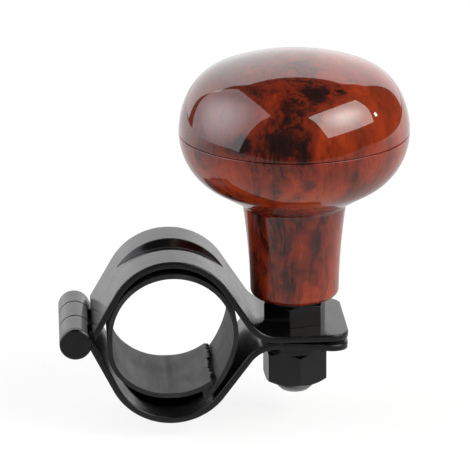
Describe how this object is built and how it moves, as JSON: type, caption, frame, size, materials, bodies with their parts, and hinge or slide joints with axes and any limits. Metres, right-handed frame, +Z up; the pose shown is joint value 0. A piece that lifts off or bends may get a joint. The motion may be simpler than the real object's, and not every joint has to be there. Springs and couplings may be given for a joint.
{
  "type": "steering wheel spinner knob",
  "caption": "Mushroom-shaped knob that spins on a bearing spindle, held by a hinged, rubber-lined two-jaw clamp that bolts around a steering wheel rim.",
  "frame": {"origin": "centre of the round clamp bore, halfway along the wheel rim", "axes": "+X from the bore towards the knob spindle, +Y along the wheel rim that the clamp holds, +Z up along the spindle towards the knob's crown"},
  "size_m": [0.0773, 0.0502, 0.0796],
  "materials": {
    "knob": "high gloss, burl wood pattern",
    "black_paint": "gloss black over pressed steel",
    "liner": "satin black rubber",
    "bush": "plain bronze",
    "bearing_steel": "ground",
    "ball": "polished",
    "cage": "natural nylon",
    "zinc": "bright zinc"
  },
  "bodies": {
    "clamp": {"upper_jaw": "black_paint", "liner": "liner", "hinge_pin": "black_paint", "spindle": "black_paint", "thrust_washer": "zinc", "bearing_inner_race": "bearing_steel", "spacer_washer": "zinc", "lock_nut": "zinc"},
    "knob": {"knob_cap": "knob", "knob_shell": "knob", "sleeve_bush": "bush", "bearing_outer_race": "bearing_steel"},
    "ball_train": {"bearing_cage": "cage", "ball_1": "ball", "ball_2": "ball", "ball_3": "ball", "ball_4": "ball", "ball_5": "ball", "ball_6": "ball", "ball_7": "ball", "ball_8": "ball"},
    "lower_jaw": {"lower_jaw": "black_paint"},
    "washer": {"spring_washer": "black_paint"},
    "nut": {"clamp_nut": "black_paint"}
  },
  "joints": [
    {"name": "knob_spin", "type": "hinge", "parent": "clamp", "child": "knob", "pos_m": [0.0275, 0, 0], "axis": [0, 0, 1], "continuous": true},
    {"name": "ball_train_spin", "type": "hinge", "parent": "clamp", "child": "ball_train", "pos_m": [0.0275, 0, 0.0215], "axis": [0, 0, 1], "continuous": true},
    {"name": "nut_travel", "type": "slide", "parent": "clamp", "child": "washer", "axis": [0, 0, -1], "range_m": [0, 0.005]},
    {"name": "nut_turn", "type": "hinge", "parent": "washer", "child": "nut", "pos_m": [0.0275, 0, 0], "axis": [0, 0, 1], "range_deg": [-1441, 0]},
    {"name": "jaw_swing", "type": "hinge", "parent": "clamp", "child": "lower_jaw", "pos_m": [-0.0212, 0, -0.0007], "axis": [0, 1, 0], "range_deg": [0, 5.1]}
  ],
  "couplings": [
    {"joint": "ball_train_spin", "follows": "knob_spin", "ratio": 0.599},
    {"joint": "nut_turn", "follows": "nut_travel", "rad_per_m": -5026.6},
    {"joint": "jaw_swing", "follows": "nut_travel", "rad_per_m": 17.5}
  ]
}
